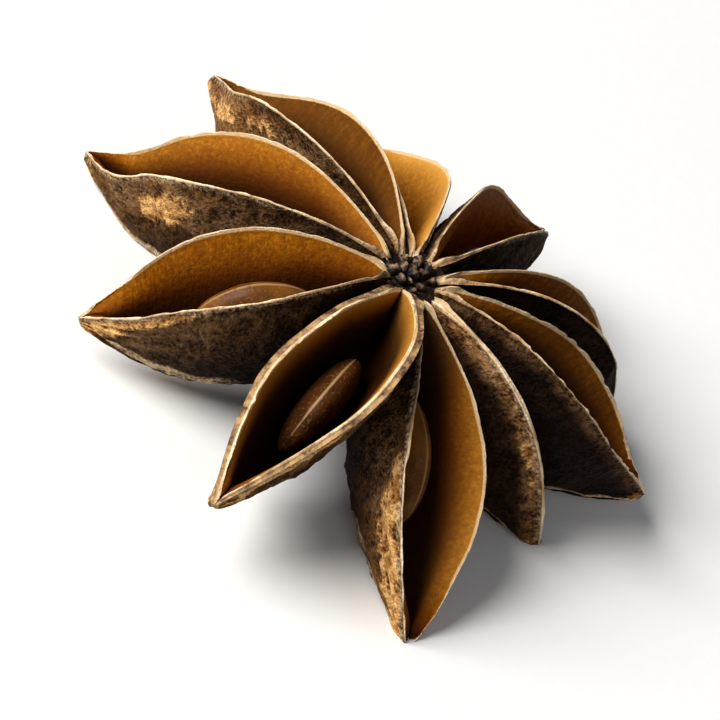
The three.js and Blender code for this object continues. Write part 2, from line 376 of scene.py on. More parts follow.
def lattice(cells, seed):
    """A steady random number from -1 to 1 for each whole-number cell."""
    x, y, z = (cells[..., i].astype(np.int64) for i in range(3))
    mixed = (x * 73856093) ^ (y * 19349663) ^ (z * 83492791) ^ (seed * 2654435761)
    mixed = (mixed ^ (mixed >> 13)) * 1274126177
    return ((mixed ^ (mixed >> 16)) & 0xFFFF) / 32767.5 - 1


def noise(points, size, seed=0):
    """Smooth noise from -1 to 1 over points in mm, with lumps about `size` mm apart."""
    p = points / size
    cell = np.floor(p)
    f = p - cell
    f = f * f * (3 - 2 * f)
    total = np.zeros(points.shape[:-1])
    for corner in np.ndindex(2, 2, 2):
        step = np.array(corner)
        share = np.prod(np.where(step == 1, f, 1 - f), axis=-1)
        total += share * lattice(cell + step, seed)
    return total


def rough(points, size, octaves, seed=0):
    """Noise with finer noise added to it, each octave half the last."""
    total = np.zeros(points.shape[:-1])
    for i in range(octaves):
        total += noise(points, size / 2 ** i, seed + i) / 2 ** i
    return total


def wrinkles(points, size, seed):
    """Curling folds, 1 along their crests and 0 in the hollows between."""
    bend = np.stack([noise(points, 1.8 * size, seed + i) for i in range(3)], -1)
    return np.clip(1 - 2.4 * np.abs(noise(points + 0.8 * size * bend, size, seed + 3)), 0, 1)


# ---- meshes ------------------------------------------------------------------

def tube_faces(rings, count):
    """Quads between rings of `count` points, and a fan of triangles at each end."""
    faces = []
    for i in range(rings - 1):
        for j in range(count):
            a = i * count + j
            b = i * count + (j + 1) % count
            faces.append((a, b, b + count, a + count))
    first = rings * count
    last = first + 1
    start = (rings - 1) * count
    for j in range(count):
        k = (j + 1) % count
        faces.append((first, k, j))
        faces.append((last, start + j, start + k))
    return faces


def normals_of(grid):
    """Outward directions of a tube of rings."""
    along = np.gradient(grid, axis=0)
    around = np.roll(grid, -1, axis=1) - np.roll(grid, 1, axis=1)
    cross = np.cross(around, along)
    length = np.linalg.norm(cross, axis=-1, keepdims=True)
    return cross / np.maximum(length, 1e-9)


# The numbers that the husk's mesh carries at each point, for its materials.
VALUES = ("down", "share", "along", "side", "tone", "worn", "pale", "crease", "crest", "known")


def point_values(**given):
    """A number for each of VALUES: 0 where none is given."""
    values = dict.fromkeys(VALUES, 0.0)
    values.update(given, known=1.0)
    return values


def tube_object(name, grid, values, materials, material_of_column=None):
    """A closed tube of rings of points in mm, with a number at each point for each value."""
    rings, count = grid.shape[:2]
    ends = np.array([grid[0].mean(0), grid[-1].mean(0)])
    points = np.concatenate([grid.reshape(-1, 3), ends]) * MM
    faces = tube_faces(rings, count)
    mesh = bpy.data.meshes.new(name)
    mesh.from_pydata(points.tolist(), [], faces)
    for key, numbers in values.items():
        numbers = np.broadcast_to(numbers, (rings, count))
        whole = np.concatenate([numbers.reshape(-1), [numbers[0].mean(), numbers[-1].mean()]])
        attribute = mesh.attributes.new(key, "FLOAT", "POINT")
        attribute.data.foreach_set("value", whole.astype(np.float32))
    for material in materials:
        mesh.materials.append(material)
    if material_of_column is not None:
        slots = np.zeros(len(faces), np.int32)
        slots[: (rings - 1) * count] = np.tile(material_of_column, rings - 1)
        mesh.polygons.foreach_set("material_index", slots)
    mesh.validate()
    mesh.update()
    made = bpy.data.objects.new(name, mesh)
    bpy.context.scene.collection.objects.link(made)
    return made


def shade(mesh, angle):
    """Smooth shading, with edges sharper than the angle kept crisp."""
    mesh.polygons.foreach_set("use_smooth", [True] * len(mesh.polygons))
    mesh.set_sharp_from_angle(angle=math.radians(angle))


# ---- the husk's carpels --------------------------------------------------------

def rim_seat(c, t, side):
    """A place of its own in the noise for each lip."""
    return np.stack(np.broadcast_arrays(t * c["length"], side * 9.0, c["number"] * 7.0), -1)


def lip_wave(c, t, side):
    """How far the rim wanders sideways, in mm."""
    seat = rim_seat(c, t, side)
    wave = RIM_WAVE * noise(seat, SLOW_WAVE, seed=5)
    wave += c["ragged"] * noise(seat, TEAR_WAVE, seed=6)
    return wave * ease(t, 0.08, 0.3)


def lip_notch(c, t, side):
    """How far the lip's crest stands up or is nicked, in mm."""
    seat = rim_seat(c, t, side)
    deep = 0.03 + 1.2 * c["ragged"]
    nicks = deep * np.minimum(noise(seat, NICK_WAVE, seed=7) + 0.2, 0)
    nicks += 0.25 * deep * noise(seat, FINE_NICK_WAVE, seed=18)
    slow = 0.04 * noise(seat, CREST_WAVE, seed=8)
    return nicks + slow + 0.9 * c["ragged"] * noise(seat, DIP_WAVE, seed=9)


def torn_shelf(c, t):
    """The share of the lip's width that is torn fibre outside its crest."""
    return np.maximum(c["shelf"], 0.2 + 0.3 * ease(t, 0.26, 0.06))


def lip_profile(u, shelf):
    """The lip's height across it, in mm: a torn outer shelf, then a rounded crest."""
    rise = ease(u, shelf - 0.1, shelf + 0.15)
    crest = np.sin(np.pi * np.clip((u - shelf + 0.1) / (1.25 - shelf), 0, 1)) ** 0.8
    return CREST * rise * crest - SHELF * (1 - rise) * ease(u, 0.0, 0.15)


def lid(c, t, side):
    """One half of the lid: how far across and up its points are, from edge to middle."""
    thick = lip_thickness(c, t)
    edge = lip_offset(c, t, side) + thick / 2 + lip_wave(c, t, side)
    torn = c["ragged"] * noise(rim_seat(c, t, side), TORN_WAVE, seed=14)
    inwards = np.array(LID_POINTS)[None, :] * thick
    inwards = inwards * np.minimum(1, 0.95 * edge / inwards.max(axis=1, keepdims=True))
    u = (inwards + torn * ease(inwards / thick, 0.6, 0.1)) / thick
    knob = KNOB_RISE * bump(t, 0.03, 0.03) - 0.5 * ease(t, HOLLOW_START, 0.0)
    shelf = torn_shelf(c, t)
    up = lip_profile(u, shelf) + (lip_notch(c, t, side) + knob) * ease(u, shelf, shelf + 0.3)
    return side * (edge - inwards), up, ease(u, shelf, shelf + 0.15)


def skin_relief(c, points, down, t, crease, worn):
    """Grain, dents, wrinkles and the crumpled folds over the keel, in mm."""
    share = down / keel_depth(c, t)
    low = ease(share, 0.4, 1.0) * ease(t, 0.03, 0.2) * ease(t, 1.0, 0.85)
    standing = ease(points[..., 2], 0.0, 0.9)
    away = ease(down, 0.0, 0.7)
    folds = -FOLD_DEPTH * low * standing * (1 - wrinkles(points, FOLD_SIZE, seed=40))
    grain = GRAIN_DEPTH * rough(points, GRAIN_SIZE, octaves=2, seed=10)
    dents = DENT_DEPTH * rough(points, DENT_SIZE, octaves=2, seed=20)
    creases = (WRINKLE_DEPTH + SCAR_WRINKLE * worn) * crease
    relief = away * (grain + dents + folds + creases - SHRINKAGE)
    return np.maximum(relief, LEAST_WALL - wall_thickness(c, t, np.clip(share, 0, 1)))


def beak_folds(c, down, t, side):
    """Long folds that run together at the beak, 1 along their crests."""
    share = down / keel_depth(c, t)
    own_place = 9.0 * side + c["number"] * 7
    seat = np.stack(np.broadcast_arrays(t * c["length"] / 6, 8 * share, own_place), -1)
    crests = np.clip(1 - 2.4 * np.abs(noise(seat, 1.0, seed=33)), 0, 1)
    return crests * ease(t, 0.4, 0.85)


def scars(c, points, down, t):
    """Where the skin has worn through to tan tissue, from 0 to 1."""
    total = 0.5 * ease(t, 0.92, 1.0) + 0 * down
    for at, low, length, height in c["scars"]:
        away = ((t - at) * c["length"] / length) ** 2 + ((down - low) / height) ** 2
        total = np.maximum(total, c["worn"] * np.exp(-away))
    return total + (0.1 + 0.15 * ease(total, 0.0, 0.3)) * rough(points, 1.3, octaves=2, seed=25)


def pale_ridges(c, points, down, t):
    """Where the skin is worn to cream: beside the lips and along the keel by the beak."""
    patchy = 0.5 + 0.5 * noise(points, 1.0, seed=28)
    beside_lip = c["rim"] * bump(down, 0, 0.08 + 0.5 * c["rim"] * patchy)
    beside_lip = beside_lip * ease(t, 0.04, 0.26)
    share = down / keel_depth(c, t)
    beside_keel = 0.9 - 0.14 * ease(t, 0.6, 0.95)
    ridge = bump(share, beside_keel, 0.05) + ease(share, 0.93, 1.0)
    keel = 1.1 * ridge * ease(t, 0.45, 0.75) * (0.4 + patchy)
    return np.maximum(beside_lip, keel)


def skin_tone_and_shade(c, down, t):
    """How brown the skin is, with painted shade: blackest low down and near the column."""
    outwards = c["root"] + (1 - c["root"]) * ease(t, 0.15, 0.65)
    return c["light"] * outwards * (1 - 0.95 * ease(down, 0.13 * c["fade"], c["fade"]))


def carpel_values(c, down, across, t):
    """What each point of a carpel tells its material."""
    # `share` carries painted shade: darker deeper in the hollow by `dark`, and by the column by `core`,
    # where painted shadow lies.
    darkness = c["dark"] * down / np.maximum(keel_depth(c, t), 0.1)
    share = darkness + c["core"] * ease(t, 0.4, 0.05)
    along = t * c["length"]
    return point_values(down=down, share=share, along=along, side=np.sign(across), tone=c["warm"])


def carpel_body(c, skin, lip):
    """A carpel before its hollow is cut: two walls, and a lid that is raised at the lips."""
    t = np.linspace(0, 1, STATIONS)[:, None]
    even = np.linspace(0, 1, WALL_STEPS)
    s = (0.5 * even + 0.5 * (1 - np.cos(even * np.pi / 2)))[None, :]
    depth = keel_depth(c, t)
    walls = []
    for side in (-1, 1):
        hang = np.exp(-s * depth / LIP_HANG)
        walls.append(side * (outer_offset(c, t, side, s) + lip_wave(c, t, side) * hang))
    left_lid = lid(c, t, 1)
    right_lid = lid(c, t, -1)
    middle = 0.5 * CREST if c["shut"] else 0.0
    across = np.concatenate(
        [walls[0], walls[1][:, ::-1][:, 1:], left_lid[0], 0 * t, right_lid[0][:, ::-1]], axis=1,
    )
    wall_up = -s * depth
    up = np.concatenate(
        [wall_up, wall_up[:, ::-1][:, 1:], left_lid[1], middle + 0 * t, right_lid[1][:, ::-1]], axis=1,
    )
    on_wall = np.arange(across.shape[1]) < 2 * WALL_STEPS - 1
    crest = np.zeros_like(across)
    crest[:, ~on_wall] = np.concatenate([left_lid[2], 1 + 0 * t, right_lid[2][:, ::-1]], axis=1)
    grid = place(c, t, across, up)
    frayed = ease(t, 0.32, 0.06) * ease(noise(grid, 0.5, seed=35), -0.3, 0.4)
    crest = crest * (1 - 0.75 * frayed)
    down = np.where(on_wall, -up, 0)
    fine = 0.85 * wrinkles(grid, WRINKLE_SIZE, seed=30)
    crease = np.maximum(fine, beak_folds(c, down, t, np.sign(across)))
    crease = crease * ease(down, 0.0, 0.4)
    worn = np.clip(scars(c, grid, down, t), 0, 1)
    relief = skin_relief(c, grid, down, t, crease, worn) * on_wall
    values = carpel_values(c, down, across, t)
    # The skin's tone carries painted shade: low down, by the column and on carpels in shadow.
    values.update(crest=crest, crease=crease, tone=skin_tone_and_shade(c, down, t))
    values.update(worn=worn, pale=pale_ridges(c, grid, down, t))
    grid = grid + normals_of(grid) * relief[..., None]
    grid[..., 2] = np.maximum(grid[..., 2], 0)
    columns = np.where(on_wall & np.roll(on_wall, -1), 0, 1)
    return tube_object("carpel", grid, values, (skin, lip), columns)


def carpel_hollow(c, lining):
    """What is cut out of a carpel, from a little above its lips down to its floor."""
    end = HOLLOW_END
    if c["shut"]:
        end = SHUT_SPAN
    if c["gape"]:
        end = PAST_BEAK
    t = np.linspace(HOLLOW_START, end, HOLLOW_STATIONS)[:, None]
    s = (np.linspace(0, 1, HOLLOW_STEPS) ** 1.2)[None, :]
    open_share = ease(t, 0.0, 0.05) * ease(t, end + 0.01, end - 0.05)
    depth = inner_depth(c, t) * open_share + 0.05
    half_across = []
    half_up = []
    for side in (-1, 1):
        wave = lip_wave(c, t, side) * np.exp(-s * depth / LIP_HANG)
        wall = inner_offset(c, t, side, s, depth) * (0.1 + 0.9 * open_share) + wave * open_share
        above = wall[:, :1] + np.array([0.4, 0.2, 0.05])[None, :] * lip_thickness(c, t)
        half_across.append(side * np.concatenate([above, wall], axis=1))
        rise = np.broadcast_to(np.array([0.7, 0.14, 0.04])[None, :], above.shape)
        half_up.append(np.concatenate([rise, -s * depth - 0.06], axis=1))
    across = np.concatenate([half_across[0], half_across[1][:, ::-1][:, 1:]], axis=1)
    up = np.concatenate([half_up[0], half_up[1][:, ::-1][:, 1:]], axis=1)
    grid = place(c, t, across, up)
    down = np.maximum(-up, 0)
    relief = 0.05 * rough(grid, 2.6, octaves=2, seed=50) * ease(down, 0.3, 1.2)
    grid = grid + normals_of(grid) * relief[..., None]
    # By the beak the layer has no pale edge, so it counts as further down there.
    values = carpel_values(c, down + 0.2 * ease(t, 0.8, 0.96), across, t)
    # `pale` here is painted light beside the lips, with less of it by the column, where painted shadow lies.
    inner_end = 1 - 1.6 * c["core"] * ease(t, 0.45, 0.1)
    values["pale"] = c["glow"] * np.exp(-down / 0.9) * inner_end * ease(t, 0.95, 0.75)
    return tube_object("hollow", grid, values, (lining,))


# ---- the husk's middle ---------------------------------------------------------

# Radius and height over the lips' plane: a column with a dish in its top.
COLUMN_OUTLINE = [
    (0.02, -5.6), (1.5, -5.5), (2.2, -4.6), (2.3, -2.4), (2.1, -0.9),
    (1.75, -0.45), (1.35, -0.68), (0.02, -0.72),
]


def turned_solid(name, outline, steps, facets, relief, material, middle):
    """A round solid from an outline of radius and height, roughened by relief mm."""
    radii, heights = np.array(outline).T
    path = np.linspace(0, len(outline) - 1, steps)
    radius = np.interp(path, np.arange(len(outline)), radii)[:, None]
    height = np.interp(path, np.arange(len(outline)), heights)[:, None]
    angle = np.linspace(0, 2 * np.pi, facets, endpoint=False)[None, :]
    grid = np.stack([radius * np.cos(angle), radius * np.sin(angle), height + 0 * angle], -1)
    grid = grid + middle
    lumps = relief * rough(grid, 0.9, octaves=2, seed=60)
    grid = grid + normals_of(grid) * lumps[..., None]
    crease = wrinkles(grid, WRINKLE_SIZE, seed=30)
    return tube_object(name, grid, point_values(down=4.0, share=0.5, crease=crease), (material,))


def bead(number, material):
    """One shrivelled lump in the dish at the middle, with a painted highlight on its top."""
    away = BEAD_SPREAD * math.sqrt(number / (BEAD_COUNT - 1))
    turn = number * FLORET_TURN
    radius = BEAD_RADIUS + BEAD_UNEVEN * math.sin(2.3 * number)
    lift = BEAD_HEIGHT + 0.06 * math.cos(1.7 * number)
    middle = HUB + np.array([away * math.cos(turn), away * math.sin(turn), lift])
    rise = np.linspace(-np.pi / 2 + 0.05, np.pi / 2 - 0.05, BEAD_RINGS)[:, None]
    angle = np.linspace(0, 2 * np.pi, BEAD_SIDES, endpoint=False)[None, :]
    flat = np.cos(rise)
    ball = np.stack([flat * np.cos(angle), flat * np.sin(angle), np.sin(rise) + 0 * angle], -1)
    shape = turned(ball * radius * BEAD_SHAPE, "Z", number * BEAD_TURN)
    lumps = rough(middle + shape, 0.3, octaves=2, seed=70)
    grid = middle + shape * (1 + 0.5 * lumps[..., None])
    # Its top is given a painted highlight.
    values = point_values(crest=np.maximum(np.sin(rise), 0))
    return tube_object("bead", grid, values, (material,))


def stalk(material):
    """The stub that the pod hung from, under the column."""
    half = STALK_LENGTH / 2
    outline = [
        (0.02, -half), (STALK_BOTTOM, -half), (0.9 * STALK_BOTTOM, 0), (STALK_TOP, half),
        (0.02, half),
    ]
    made = turned_solid(
        "stalk", outline, steps=24, facets=28, relief=0.12, material=material, middle=np.zeros(3),
    )
    tilt = Matrix.Rotation(STALK_TILT, 4, "Y")
    made.data.transform(Matrix.Translation(Vector(HUB + STALK_MIDDLE) * MM) @ tilt)
    return made


def joined(base, steps):
    """base after each step of (name, objects, operation), with those objects used up."""
    groups = []
    for name, members, operation in steps:
        group = bpy.data.collections.new(name)
        for member in members:
            group.objects.link(member)
        groups.append(group)
        step = base.modifiers.new(name, "BOOLEAN")
        step.operation = operation
        step.solver = "MANIFOLD"
        step.operand_type = "COLLECTION"
        step.collection = group
        step.material_mode = "TRANSFER"
    depsgraph = bpy.context.evaluated_depsgraph_get()
    mesh = bpy.data.meshes.new_from_object(base.evaluated_get(depsgraph))
    base.modifiers.clear()
    for group in groups:
        for member in list(group.objects):
            bpy.data.objects.remove(member)
        bpy.data.collections.remove(group)
    old = base.data
    base.data = mesh
    bpy.data.meshes.remove(old)
    return base


def drop_scraps(mesh):
    """Deletes all but the largest of the mesh's loose parts."""
    shape = bmesh.new()
    shape.from_mesh(mesh)
    left = set(shape.verts)
    parts = []
    while left:
        waiting = [left.pop()]
        part = []
        while waiting:
            vertex = waiting.pop()
            part.append(vertex)
            for edge in vertex.link_edges:
                other = edge.other_vert(vertex)
                if other in left:
                    left.remove(other)
                    waiting.append(other)
        parts.append(part)
    parts.sort(key=len)
    scraps = [vertex for part in parts[:-1] for vertex in part]
    bmesh.ops.delete(shape, geom=scraps, context="VERTS")
    shape.to_mesh(mesh)
    shape.free()


def read(mesh, key):
    """A mesh's numbers for one of its values, point by point."""
    value = np.zeros(len(mesh.vertices), np.float32)
    mesh.attributes[key].data.foreach_get("value", value)
    return value


def fill_unknown(mesh):
    """Gives the new points along the joins the mean of the values beside them."""
    count = len(mesh.vertices)
    edges = np.zeros(len(mesh.edges) * 2, np.int32)
    mesh.edges.foreach_get("vertices", edges)
    edges = edges.reshape(-1, 2)
    known = read(mesh, "known") > 0.5
    for _ in range(4):
        for key in VALUES[:-1]:
            value = read(mesh, key)
            total = np.zeros(count)
            share = np.zeros(count)
            for a, b in ((0, 1), (1, 0)):
                near = known[edges[:, a]]
                np.add.at(total, edges[near, b], value[edges[near, a]])
                np.add.at(share, edges[near, b], 1)
            lost = ~known & (share > 0)
            value[lost] = total[lost] / share[lost]
            mesh.attributes[key].data.foreach_set("value", value.astype(np.float32))
        known = known | (share > 0)


def husk(skin, lip, lining, cork, rind):
    """The column, its carpels and the stalk in one, then hollowed, then with its beads."""
    column = turned_solid(
        "husk_shell", COLUMN_OUTLINE, steps=40, facets=72, relief=0.06, material=cork, middle=HUB,
    )
    carpels = [carpel_body(c, skin, lip) for c in CARPELS]
    hollows = [carpel_hollow(c, lining) for c in CARPELS]
    beads = [bead(i, rind) for i in range(BEAD_COUNT)]
    steps = (
        ("carpels", carpels + [stalk(skin)], "UNION"),
        ("hollows", hollows, "DIFFERENCE"),
        ("beads", beads, "UNION"),
    )
    whole = joined(column, steps)
    drop_scraps(whole.data)
    fill_unknown(whole.data)
    shade(whole.data, angle=50)
    return whole


# ---- seeds ---------------------------------------------------------------------

def seed(c, name, material):
    """A seed on its edge, with the line of its seam along the top."""
    at = c["seed"]["at"]
    size = c["seed"]["size"]
    span = c["length"] - LIP_START
    lift = np.linspace(-np.pi / 2 + 0.02, np.pi / 2 - 0.02, SEED_RINGS)[:, None]
    angle = np.linspace(0, 2 * np.pi, SEED_SIDES, endpoint=False)[None, :]
    along = np.sin(lift) * size * SEED_LENGTH / 2 + 0 * angle
    across = np.cos(lift) * np.cos(angle) * size * SEED_THICKNESS / 2
    up = np.cos(lift) * np.sin(angle) * size * SEED_HEIGHT / 2
    seam = bump(across, 0, SEED_SEAM_WIDTH) * (up > 0) * np.cos(lift) ** 0.5
    up = up + SEED_SEAM * seam - c["seed"]["depth"]
    grid = place(c, at + along / span, across, up)
    lumps = 0.03 * rough(grid, 1.6, octaves=2, seed=80)
    grid = grid + normals_of(grid) * lumps[..., None]
    # `tan` is partly the seed's own colour and partly painted shade: a seed set deep in shadow is darker.
    made = tube_object(name, grid, {"seam": seam, "tan": c["seed"]["tan"]}, (material,))
    shade(made.data, angle=60)
    return made


# ---- materials -----------------------------------------------------------------

# Sockets that are picked by number: of a map range, which gives 0 at its low and 1 at
# its high value unless it is told otherwise, and of a mix of colours, whose result is
# output 2. Those of sums and products are numbered in reading order.
VALUE, LOW, HIGH, AT_LOW, AT_HIGH = range(5)
SHARE, FROM, TO = 0, 6, 7
COLOURS = dict(out=2, data_type="RGBA")


def linear(hex_colour):
    """An sRGB hex colour as linear red, green, blue and alpha."""
    parts = [int(hex_colour[i:i + 2], 16) / 255 for i in (1, 3, 5)]
    return [p / 12.92 if p <= 0.04045 else ((p + 0.055) / 1.055) ** 2.4 for p in parts] + [1.0]


def add(material, kind, inputs, out=0, **settings):
    """Adds a node with its settings and links, and gives back one of its outputs."""
    tree = material.node_tree
    made = tree.nodes.new(kind)
    for name, value in settings.items():
        setattr(made, name, value)
    for key, value in inputs.items():
        if isinstance(value, bpy.types.NodeSocket):
            tree.links.new(value, made.inputs[key])
        else:
            made.inputs[key].default_value = value
    return made.outputs[out] if made.outputs else None


def new_material(name):
    """An empty material, and where a point of the piece is, in mm."""
    made = bpy.data.materials.new(name)
    made.use_nodes = True
    made.node_tree.nodes.clear()
    seat = add(made, "ShaderNodeTexCoord", {}, out="Object")
    return made, add(made, "ShaderNodeVectorMath", {0: seat, "Scale": 1 / MM}, operation="SCALE")


def finish(material, colour, roughness, height, depth_mm, **constants):
    """The surface itself: colour, roughness, and relief from height, `depth_mm` deep."""
    normal = add(material, "ShaderNodeBump", {"Height": height, "Distance": depth_mm * MM})
    inputs = {"Base Color": colour, "Roughness": roughness, "Normal": normal}
    inputs.update({key.replace("_", " "): value for key, value in constants.items()})
    surface = add(material, "ShaderNodeBsdfPrincipled", inputs)
    add(material, "ShaderNodeOutputMaterial", {"Surface": surface})
    return material


def dried_skin():
    """Dried fruit skin, shrunk on as it dried: dull and pebbled, worn to tan in places."""
    m, seat = new_material("dried_skin")
    tone, worn, pale, crease = (
        add(m, "ShaderNodeAttribute", {}, out="Fac", attribute_name=key)
        for key in ("tone", "worn", "pale", "crease")
    )
    # Pebbles of a fifth of a millimetre, curling ridges under a millimetre apart, and
    # clouds of browner and redder skin a few millimetres across.
    grain = add(m, "ShaderNodeTexNoise", {"Vector": seat, "Scale": 1 / 0.2, "Detail": 3.0, "Roughness": 0.6})
    curl = add(m, "ShaderNodeTexNoise", {"Vector": seat, "Scale": 1 / 0.6, "Detail": 2.0, "Distortion": 0.2})
    cloud = add(m, "ShaderNodeTexNoise", {"Vector": seat, "Scale": 1 / 2.6, "Detail": 4.0, "Roughness": 0.6})
    tint = add(m, "ShaderNodeMapRange", {VALUE: cloud, LOW: 0.38, HIGH: 0.62})
    ridge = add(m, "ShaderNodeMath", {0: curl, 1: 0.5}, operation="SUBTRACT")
    ridge = add(m, "ShaderNodeMath", {0: ridge}, operation="ABSOLUTE")
    ridge = add(m, "ShaderNodeMapRange", {VALUE: ridge, LOW: 0.0, HIGH: 0.12, AT_LOW: 0.22, AT_HIGH: 0.0})
    fold = add(m, "ShaderNodeMath", {0: crease, 1: 0.42, 2: ridge}, operation="MULTIPLY_ADD")
    pebble = add(m, "ShaderNodeMapRange", {VALUE: grain, LOW: 0.36, HIGH: 0.68, AT_HIGH: 0.5})
    height = add(m, "ShaderNodeMath", {0: pebble, 1: fold}, operation="ADD")
    # Valley and crest colours darken with `tone`, which carries painted shade; `lit` makes the pebbles'
    # valleys darker and their crests lighter, partly the skin's own colour and partly painted shade and
    # light.
    valley = add(
        m, "ShaderNodeMix", {SHARE: tone, FROM: linear("#0A0402"), TO: linear("#3A1E0C")}, **COLOURS,
    )
    brown = add(m, "ShaderNodeMix", {SHARE: tint, FROM: linear("#94642F"), TO: linear("#BC8E60")}, **COLOURS)
    crest = add(m, "ShaderNodeMix", {SHARE: tone, FROM: linear("#180C06"), TO: brown}, **COLOURS)
    lit = add(m, "ShaderNodeMapRange", {VALUE: height, LOW: 0.15, HIGH: 0.85})
    colour = add(m, "ShaderNodeMix", {SHARE: lit, FROM: valley, TO: crest}, **COLOURS)
    # Scars: tan tissue, orange on its folds and brown in its furrows, partly painted light and
    # shade, its border broken by the grain.
    furrow = add(m, "ShaderNodeMapRange", {VALUE: crease, LOW: 0.05, HIGH: 0.55, AT_LOW: 0.3, AT_HIGH: 1.0})
    folded = add(m, "ShaderNodeMath", {0: lit, 1: furrow}, operation="MULTIPLY")
    tan = add(m, "ShaderNodeMix", {SHARE: folded, FROM: linear("#8C501A"), TO: linear("#FAC47C")}, **COLOURS)
    broken = add(m, "ShaderNodeMath", {0: height, 1: 0.35}, operation="ADD")
    bare = add(m, "ShaderNodeMath", {0: worn, 1: broken}, operation="MULTIPLY")
    bare = add(m, "ShaderNodeMapRange", {VALUE: bare, LOW: 0.25, HIGH: 0.55, AT_HIGH: 0.92})
    colour = add(m, "ShaderNodeMix", {SHARE: bare, FROM: colour, TO: tan}, **COLOURS)
    # The cream beside the lips is also darker in the valleys by `lit`, partly painted shade.
    cream = add(m, "ShaderNodeMix", {SHARE: lit, FROM: linear("#70563A"), TO: linear("#E8CBA0")}, **COLOURS)
    edge = add(m, "ShaderNodeMath", {0: pale, 1: broken}, operation="MULTIPLY")
    edge = add(m, "ShaderNodeMapRange", {VALUE: edge, LOW: 0.1, HIGH: 0.5, AT_HIGH: 0.95})
    colour = add(m, "ShaderNodeMix", {SHARE: edge, FROM: colour, TO: cream}, **COLOURS)
    roughness = add(m, "ShaderNodeMapRange", {VALUE: grain, LOW: 0.3, HIGH: 0.7, AT_LOW: 0.9, AT_HIGH: 0.65})
    return finish(m, colour, roughness, height, depth_mm=0.22, IOR=1.45, Specular_IOR_Level=0.06)


def split_lip():
    """The torn edge of the husk: a pale hard crest, with brown torn fibre outside it."""
    m, seat = new_material("split_lip")
    crest = add(m, "ShaderNodeAttribute", {}, out="Fac", attribute_name="crest")
    # Pits of a sixth of a millimetre, uneven blotches of most of one, and slower stains.
    pit = add(m, "ShaderNodeTexNoise", {"Vector": seat, "Scale": 1 / 0.17, "Detail": 3.0, "Roughness": 0.6})
    slow = add(m, "ShaderNodeTexNoise", {"Vector": seat, "Scale": 1 / 1.6, "Detail": 3.0})
    stain = add(m, "ShaderNodeMapRange", {VALUE: slow, LOW: 0.35, HIGH: 0.6})
    cream = add(
        m, "ShaderNodeMix", {SHARE: stain, FROM: linear("#C29A6C"), TO: linear("#F2DAB6")}, **COLOURS,
    )
    blotch = add(
        m, "ShaderNodeTexNoise", {"Vector": seat, "Scale": 1 / 0.8, "Detail": 5.0, "Roughness": 0.72},
    )
    rough = add(m, "ShaderNodeMapRange", {VALUE: blotch, LOW: 0.4, HIGH: 0.6})
    torn = add(m, "ShaderNodeMix", {SHARE: rough, FROM: linear("#4A311C"), TO: linear("#B48E60")}, **COLOURS)
    dirt = add(m, "ShaderNodeMapRange", {VALUE: pit, LOW: 0.54, HIGH: 0.7, AT_HIGH: 0.6})
    cream = add(m, "ShaderNodeMix", {SHARE: dirt, FROM: cream, TO: linear("#8A6645")}, **COLOURS)
    colour = add(m, "ShaderNodeMix", {SHARE: crest, FROM: torn, TO: cream}, **COLOURS)
    return finish(m, colour, 0.7, pit, depth_mm=0.1, IOR=1.45, Specular_IOR_Level=0.25)


